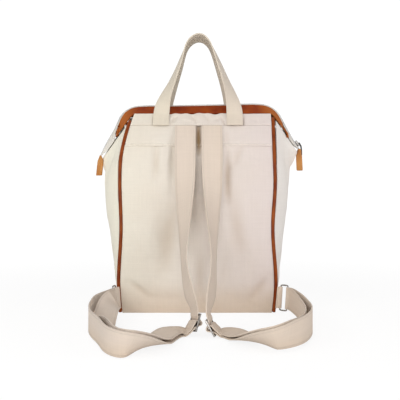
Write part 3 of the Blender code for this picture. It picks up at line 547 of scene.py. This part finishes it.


# Side gussets
# One length of canvas down each side, pushed out at the top where the zip ends and drawn in below it.
# A crease runs from the end of the zip down the middle, where the side folds when the bag is empty.

# Painted light: the left gusset is warmer and the right one cooler, for how the lamps fall on each side.
SIDE_LEFT = (0.90, 0.875, 0.75, 1)
SIDE_RIGHT = (0.87, 0.84, 0.80, 1)
SIDE_CANVAS = cloth_material(
    "side_canvas", (1, 2), CANVAS_THREADS, SIDE_LEFT, SIDE_RIGHT, CANVAS_SOIL_AND_SHADE,
    reach=0.05, relief=CANVAS_RELIEF,
)
GUSSET_HALF = 0.066
FULL_HEIGHTS = (0.020, 0.065, 0.120, 0.170, 0.215, 0.250, 0.272, 0.285)
FULL_GUSSET = {
    "left": (0.0, 0.0014, 0.0034, 0.0054, 0.0050, 0.0056, 0.0030, 0.0),
    "right": (0.0, 0.0006, 0.0014, 0.0018, 0.0014, 0.0012, 0.0006, 0.0),
}
GUSSET_FOLDS = [
    # from (across, up), to (across, up), breadth, depth
    ((0.000, 0.270), (0.004, 0.120), 0.0060, 0.0026),
    ((-0.030, 0.300), (-0.018, 0.210), 0.0060, 0.0016),
    ((0.032, 0.300), (0.020, 0.200), 0.0060, 0.0016),
    ((-0.040, 0.120), (-0.010, 0.060), 0.0100, 0.0020),
    ((0.045, 0.110), (0.012, 0.050), 0.0100, 0.0020),
]
for side, name in ((-1, "left"), (1, "right")):
    gusset = copy_of("gusset_" + name, "gusset_" + name + "_canvas")
    soften(gusset, 2, CUT_EDGE)
    points = points_of(gusset)
    middle = np.clip(1 - (points[:, 1] / GUSSET_HALF) ** 2, 0, 1) ** 0.7
    fullness = np.interp(points[:, 2], FULL_HEIGHTS, FULL_GUSSET[name])
    points[:, 0] += side * middle * fullness
    set_points(gusset, points)
    press_folds(gusset, GUSSET_FOLDS, (side, 0, 0))
    crumple(gusset, (side, 0, 0), size=0.040, depth=0.0012, seed=7 + side)
    gusset.data.materials.append(SIDE_CANVAS)


# Base panel
# A stiffened panel of the same canvas, set inside the foot of the four walls and sewn to them. It stands on
# the floor and takes the darker canvas tone all over, browner again near the floor, partly soil and partly
# painted shade.

# Partly soil and partly painted shade: the browner tone at the foot of the base panel.
BASE_SOIL_AND_SHADE = (0.45, 0.34, 0.25, 1)
BASE_CANVAS = cloth_material(
    "base_canvas", (0, 1), CANVAS_THREADS, CANVAS_SOIL_AND_SHADE, CANVAS_SOIL_AND_SHADE, BASE_SOIL_AND_SHADE,
    reach=0.05, relief=CANVAS_RELIEF,
)
base = copy_of("base_panel", "base_canvas_panel")
soften(base, 1, edge=0.0004)
base.data.materials.append(BASE_CANVAS)


# Piping
# A cord wrapped in a strip of tan leather, whose edges are caught in each of the four corner seams. It runs
# from the hem down to the floor.

GRAIN, given, result = new_group(
    "leather_grain",
    [("Vector", "Vector"), ("Scale", "Float")],
    [("Height", "Float"), ("Tone", "Float")],
)
pores = add_node(GRAIN, "TexVoronoi", {"Vector": given.outputs["Vector"], "Scale": given.outputs["Scale"]})
patch = add_node(GRAIN, "TexNoise", {"Vector": given.outputs["Vector"], "Scale": 38.0, "Detail": 5.0})
GRAIN.links.new(pores.outputs["Distance"], result.inputs["Height"])
GRAIN.links.new(patch.outputs["Fac"], result.inputs["Tone"])


# Painted highlight: how far from the middle the band's ends start and finish turning pale.
HIGHLIGHT_FROM = 0.112
HIGHLIGHT_TO = 0.140


def leather_material(name, deep, toned_colour, roughness, painted_highlight=None):
    """Waxed leather, deep where it is full and paler where wear thins it, and painted lighter towards both
    sides as a highlight.
    """
    made, tree, shader = new_material(name)
    place = add_node(tree, "TexCoord")
    grain = use_group(tree, GRAIN, {"Vector": place.outputs["Object"], "Scale": 900.0})
    tone = add_node(tree, "MapRange", {"Value": grain.outputs["Tone"], 1: 0.35, 2: 0.68, 3: 0.0, 4: 1.0})
    colour = mix_colour(tree, tone.outputs[0], deep, toned_colour)
    # Painted highlight: the leather turns paler towards both ends of the band.
    if painted_highlight:
        off = calc(tree, "ABSOLUTE", add_node(tree, "SeparateXYZ", {0: place.outputs["Object"]}).outputs[0])
        corner = add_node(tree, "MapRange", {"Value": off, 1: HIGHLIGHT_FROM, 2: HIGHLIGHT_TO, 3: 0.0, 4: 0.85})
        colour = mix_colour(tree, corner.outputs[0], colour, painted_highlight)
    tree.links.new(colour, shader.inputs["Base Color"])
    smooth, dry = roughness - 0.07, roughness + 0.1
    dull = add_node(tree, "MapRange", {"Value": grain.outputs["Tone"], 1: 0.3, 2: 0.7, 3: smooth, 4: dry})
    tree.links.new(dull.outputs[0], shader.inputs["Roughness"])
    lump = add_node(tree, "Bump", {"Strength": 0.35, "Distance": 0.0004, "Height": grain.outputs["Height"]})
    tree.links.new(lump.outputs[0], shader.inputs["Normal"])
    shader.inputs["Specular IOR Level"].default_value = 0.18
    return made


def swell(piece, depth):
    """Grows a piece outwards, so that sewn edges close up on their neighbours."""
    normals = np.empty(len(piece.data.vertices) * 3)
    piece.data.vertices.foreach_get("normal", normals)
    set_points(piece, points_of(piece) + normals.reshape(-1, 3) * depth)


PIPING_DEEP = (0.165, 0.023, 0.002, 1)
PIPING_WORN = (0.290, 0.068, 0.008, 1)
PIPING_LEATHER = leather_material("piping_leather", PIPING_DEEP, PIPING_WORN, roughness=0.40)
PIPING_SWELL = 0.0005
for corner in ("back_left", "back_right", "front_left", "front_right"):
    piping = copy_of("piping_" + corner, "piping_" + corner + "_leather")
    soften(piping, 2, edge=0)
    swell(piping, PIPING_SWELL)
    piping.data.materials.append(PIPING_LEATHER)


# Leather bands of the mouth
# A band of tan leather sewn between the canvas edge and the zip on each side, running over the corners of
# the frame to a point down each gusset, with a crease where it turns.

BAND_DEEP = (0.195, 0.022, 0.002, 1)
BAND_WORN = (0.310, 0.058, 0.005, 1)
# Painted highlight: the pale orange that the band's ends turn towards.
BAND_HIGHLIGHT = (0.42, 0.125, 0.022, 1)
BAND_LEATHER = leather_material("band_leather", BAND_DEEP, BAND_WORN, roughness=0.50, painted_highlight=BAND_HIGHLIGHT)


def lay_tip(piece, ground, from_x, shift):
    """Draws the point of a band on past from_x, and keeps its height over the cloth that it lies on."""
    cloth = surface_of(ground)
    reach = max(abs(vert.co.x) for vert in piece.data.vertices if vert.co.x * from_x > 0)
    for vert in piece.data.vertices:
        share = (vert.co.x * math.copysign(1, from_x) - abs(from_x)) / (reach - abs(from_x))
        if share > 0:
            below, out, _, _ = cloth.find_nearest(vert.co)
            lift = (vert.co - below).dot(out)
            below, out, _, _ = cloth.find_nearest(vert.co + Vector(shift) * share ** 1.5)
            vert.co = below + out * lift


BAND_CREASES = [
    # from (across, up), to (across, up), breadth, depth
    ((-0.1205, 0.378), (-0.1270, 0.356), 0.0022, 0.0013),
    ((-0.1340, 0.371), (-0.1420, 0.352), 0.0026, 0.0011),
    ((-0.1040, 0.382), (-0.1080, 0.366), 0.0040, 0.0008),
    ((0.1240, 0.376), (0.1320, 0.356), 0.0026, 0.0010),
]
for face, name in ((-1, "back"), (1, "front")):
    band = copy_of("mouth_trim_" + name, "mouth_band_" + name)
    soften(band, 2, edge=0.0004)
    lay_tip(band, bpy.data.objects["gusset_left_canvas"], from_x=-0.1500, shift=(0.0030, 0, -0.0090))
    lay_tip(band, bpy.data.objects["gusset_right_canvas"], from_x=0.1620, shift=(0.0020, 0, -0.0150))
    press_folds(band, BAND_CREASES, (0, face, 0))
    band.data.materials.append(BAND_LEATHER)


# Zip
# A cream cotton tape each side of a grey coil, whose teeth lock in turn, with a nickel slider and pull at
# the right end and a folded leather tab sewn over the tapes at both ends.

SHARP = 1.05


def rings_along(node, end):
    """A strip's rings of four corners, from the end that end() ranks highest to the other end."""
    shape = bmesh.new()
    shape.from_mesh(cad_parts[node].data)
    bmesh.ops.remove_doubles(shape, verts=shape.verts, dist=WELD)
    sharp = {line for line in shape.edges if len(line.link_faces) == 2 and line.calc_face_angle() > SHARP}
    ends = [vert for vert in shape.verts if len([line for line in vert.link_edges if line in sharp]) == 3]
    first = max(ends, key=lambda vert: end(vert.co))
    ring = [first]
    while len(ring) < 4:
        step = [
            line.other_vert(ring[-1]) for line in ring[-1].link_edges
            if line in sharp and line.other_vert(ring[-1]) in ends and line.other_vert(ring[-1]) not in ring
        ]
        ring.append(step[0])
    rings, seen = [ring], set(ring)
    while True:
        beyond = {line.other_vert(vert) for vert in rings[-1] for line in vert.link_edges} - seen
        if len(beyond) != 4:
            break
        ring = min(
            permutations(sorted(beyond, key=lambda vert: vert.index)),
            key=lambda trial: sum((near.co - far.co).length_squared for near, far in zip(rings[-1], trial)),
        )
        rings.append(list(ring))
        seen |= beyond
    found = [[vert.co.copy() for vert in ring] for ring in rings]
    shape.free()
    return found


# Painted light: the tape is lighter on the left and darker on the right, for how the lamps fall.
TAPE_LEFT = (0.78, 0.76, 0.70, 1)
TAPE_RIGHT = (0.74, 0.71, 0.66, 1)
TAPE = cloth_material(
    "zip_tape", (0, 1), 1900.0, TAPE_LEFT, TAPE_RIGHT, CANVAS_SOIL_AND_SHADE, reach=0.02, relief=0.0002
)
for name in ("back", "front"):
    tape = copy_of("zip_tape_" + name, "zip_tape_" + name + "_cloth")
    soften(tape, 1, edge=0.0003)
    tape.data.materials.append(TAPE)


def plain_material(name, colour, roughness, metallic, scale, spread):
    """Moulded or plated: faint clouding, and roughness that varies with fine rub marks."""
    made, tree, shader = new_material(name)
    place = add_node(tree, "TexCoord")
    rub = add_node(tree, "TexNoise", {"Vector": place.outputs["Object"], "Scale": scale, "Detail": 6.0})
    dark = tuple(value * (1 - spread) for value in colour[:3]) + (1,)
    tone = add_node(tree, "MapRange", {"Value": rub.outputs["Fac"], 1: 0.35, 2: 0.65, 3: 0.0, 4: 1.0})
    tree.links.new(mix_colour(tree, tone.outputs[0], dark, colour), shader.inputs["Base Color"])
    smooth, dry = roughness * 0.75, roughness * 1.3
    dull = add_node(tree, "MapRange", {"Value": rub.outputs["Fac"], 1: 0.3, 2: 0.7, 3: smooth, 4: dry})
    tree.links.new(dull.outputs[0], shader.inputs["Roughness"])
    shader.inputs["Metallic"].default_value = metallic
    lump = add_node(tree, "Bump", {"Strength": 0.15, "Distance": 0.0001, "Height": rub.outputs["Fac"]})
    tree.links.new(lump.outputs[0], shader.inputs["Normal"])
    return made


COIL = plain_material(
    "grey_coil", (0.50, 0.49, 0.47, 1), roughness=0.5, metallic=0.0, scale=400.0, spread=0.25
)
NICKEL = plain_material(
    "nickel_plate", (0.46, 0.44, 0.42, 1), roughness=0.30, metallic=1.0, scale=260.0, spread=0.45
)
GUNMETAL = plain_material(
    "gunmetal_pull", (0.060, 0.055, 0.052, 1), roughness=0.34, metallic=1.0, scale=260.0, spread=0.45
)

TOOTH_PITCH = 0.0015
TOOTH_ALONG, TOOTH_ACROSS, TOOTH_OUT = 0.0010, 0.0036, 0.0020
TOOTH_STAGGER = 0.0008
TOOTH_ROUND = 0.22
bpy.ops.object.select_all(action="DESELECT")
bpy.ops.mesh.primitive_cube_add(size=1.0)
teeth = bpy.context.object
teeth.name = "zip_coil"
apply_modifier(teeth, "BEVEL", width=TOOTH_ROUND, segments=1)
tooth, faces = points_of(teeth), [list(face.vertices) for face in teeth.data.polygons]
line = [sum(ring, Vector()) / 4 for ring in rings_along("zip_teeth", lambda point: -point.x)]
corners, sides, travelled, count = [], [], 0.0, 0
for start, end in zip(line, line[1:]):
    length = (end - start).length
    along = (end - start).normalized()
    while travelled < length:
        out = Vector((-along.z, 0, along.x))
        shift = Vector((0, TOOTH_STAGGER if count % 2 else -TOOTH_STAGGER, 0))
        turn = np.array([along * TOOTH_ALONG, Vector((0, TOOTH_ACROSS, 0)), out * TOOTH_OUT])
        sides += [[index + len(corners) for index in face] for face in faces]
        corners += (tooth @ turn + np.array(start + along * travelled + shift)).tolist()
        travelled += TOOTH_PITCH
        count += 1
    travelled -= length
teeth.data = bpy.data.meshes.new("zip_coil")
teeth.data.from_pydata(corners, [], sides)
teeth.data.materials.append(COIL)
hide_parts("zip_teeth")
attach(teeth, "root")

slider = copy_of("zip_slider", "zip_slider_body")
soften(slider, 1, edge=0.0009, segments=3)
slider.data.materials.append(NICKEL)

pull = copy_of("zip_pull", "zip_pull_tag")
soften(pull, 2, edge=0.0005)
pull.data.materials.append(GUNMETAL)

TAB_DEEP = (0.46, 0.185, 0.050, 1)
TAB_WORN = (0.62, 0.300, 0.100, 1)
TAB_LEATHER = leather_material("tab_leather", TAB_DEEP, TAB_WORN, roughness=0.50)
TAB_LIFT = 0.0070
TAB_TURN_SHARE = 0.30
TAB_SLANT = -0.0021
END_TABS = [
    # end, turn in degrees, growth in length, lean at the top and at the foot
    ("left", 68, 1.16, (-0.0015, -0.0055)),
    ("right", 52, 1.26, (0.0010, 0.0030)),
]
for name, turn, longer, lean in END_TABS:
    tab = copy_of("zip_end_tab_" + name, "zip_end_tab_" + name + "_leather")
    soften(tab, 2, edge=0.0012, segments=3)
    points = points_of(tab)
    top, foot = points[:, 2].max(), points[:, 2].min()
    down = (top - points[:, 2]) / (top - foot)
    angle = np.radians(turn) * np.clip(down / TAB_TURN_SHARE, 0, 1)
    middle = points[:, 0].mean() + (0.5 - down) * np.sign(points[:, 0].mean()) * TAB_SLANT
    off = points[:, 0] - middle
    moved = lean[0] + (lean[1] - lean[0]) * down
    points[:, 0] = middle + off * np.cos(angle) - points[:, 1] * np.sin(angle) + moved
    points[:, 1] = off * np.sin(angle) + points[:, 1] * np.cos(angle)
    points[:, 2] = top + TAB_LIFT - down * longer * (top + TAB_LIFT - foot)
    set_points(tab, points)
    tab.data.materials.append(TAB_LEATHER)


# Carry handles
# Two arches of cream cotton webbing, one each side of the mouth, sewn under the hems and turned on edge
# where they meet at the top.

WEBBING_THREADS = 800.0
WEBBING_RELIEF = 0.00018
THIN_SIDE = 0.010


def webbing_copy(node, name, end):
    """A strip of webbing with its length and width laid out as its UV map, in metres."""
    piece = copy_of(node, name)
    rings = rings_along(node, end)
    widths = [(ring[1] - ring[0]).length for ring in rings]
    thin_first = widths[len(widths) // 2] < THIN_SIDE
    spots, travelled = [], 0.0
    middle = sum(rings[0], Vector()) / 4
    for ring in rings:
        centre = sum(ring, Vector()) / 4
        travelled += (centre - middle).length
        middle = centre
        order = (ring[0], ring[3], ring[2], ring[1]) if thin_first else ring
        half = (order[1] - order[0]).length / 2
        spots += [(corner, (across, travelled)) for corner, across in zip(order, (-half, half, half, -half))]
    near = KDTree(len(spots))
    for index, (corner, _) in enumerate(spots):
        near.insert(corner, index)
    near.balance()
    layer = piece.data.uv_layers.active or piece.data.uv_layers.new(name="webbing")
    for loop in piece.data.loops:
        layer.data[loop.index].uv = spots[near.find(piece.data.vertices[loop.vertex_index].co)[1]][1]
    soften(piece, 2, CUT_EDGE)
    return piece


def drift(piece, size, depth, seed):
    """Lets a strip wander a little all through, so that its two faces stay together."""
    noise.seed_set(seed)
    points = points_of(piece)
    shift = Vector((seed * 2.7, seed * 1.3, seed * 3.9))
    points += np.array([noise.noise_vector(Vector(p) / size + shift) for p in points]) * depth
    set_points(piece, points)


# Painted light: the handles are warmer and lighter on the left and pinker on the right.
HANDLE_LEFT = (0.73, 0.68, 0.560, 1)
HANDLE_RIGHT = (0.695, 0.605, 0.515, 1)
HANDLE_WEBBING = cloth_material(
    "handle_webbing", (0, 2), WEBBING_THREADS, HANDLE_LEFT, HANDLE_RIGHT, CANVAS_SOIL_AND_SHADE,
    reach=0.02, relief=WEBBING_RELIEF, uv=True,
)
for name in ("back", "front"):
    handle = webbing_copy("handle_" + name, "handle_" + name + "_webbing", lambda point: -point.z - point.x)
    drift(handle, size=0.05, depth=0.0006, seed=3)
    handle.data.materials.append(HANDLE_WEBBING)


# Shoulder straps
# One long 38 mm cotton webbing each side. It leaves the hem, turns on edge as it drops to its adjuster,
# runs round a loop on the floor to the ring at the bottom corner, and comes back to the adjuster.

# Painted light: the straps and tabs shift slightly in tint from left to right, for how the lamps fall on them.
STRAP_LEFT = (0.70, 0.610, 0.530, 1)
STRAP_RIGHT = (0.720, 0.615, 0.515, 1)
STRAP_WEBBING = cloth_material(
    "strap_webbing", (0, 2), WEBBING_THREADS, STRAP_LEFT, STRAP_RIGHT, CANVAS_SOIL_AND_SHADE,
    reach=0.03, relief=WEBBING_RELIEF, uv=True,
)
for name in ("left", "right"):
    strap = webbing_copy("shoulder_strap_" + name, "shoulder_strap_" + name + "_webbing", lambda point: point.z)
    drift(strap, size=0.06, depth=0.0003, seed=5)
    strap.data.materials.append(STRAP_WEBBING)


# Rings, tabs and adjusters
# A rectangular nickel ring at each bottom corner, held by a folded webbing tab sewn into the seam, and a
# stamped three-bar adjuster of the same nickel on each strap.

TAB_WEBBING = cloth_material(
    "tab_webbing", (1, 2), WEBBING_THREADS, STRAP_LEFT, STRAP_RIGHT, CANVAS_SOIL_AND_SHADE,
    reach=0.03, relief=WEBBING_RELIEF,
)
for name in ("left", "right"):
    ring = copy_of("strap_ring_" + name, "strap_ring_" + name + "_wire")
    soften(ring, 2, edge=0)
    ring.data.materials.append(NICKEL)

    tab = copy_of("strap_tab_" + name, "strap_tab_" + name + "_webbing")
    soften(tab, 2, CUT_EDGE)
    tab.data.materials.append(TAB_WEBBING)

    adjuster = copy_of("strap_slider_" + name, "strap_adjuster_" + name)
    soften(adjuster, 1, edge=0.0006, segments=3)
    adjuster.data.materials.append(NICKEL)
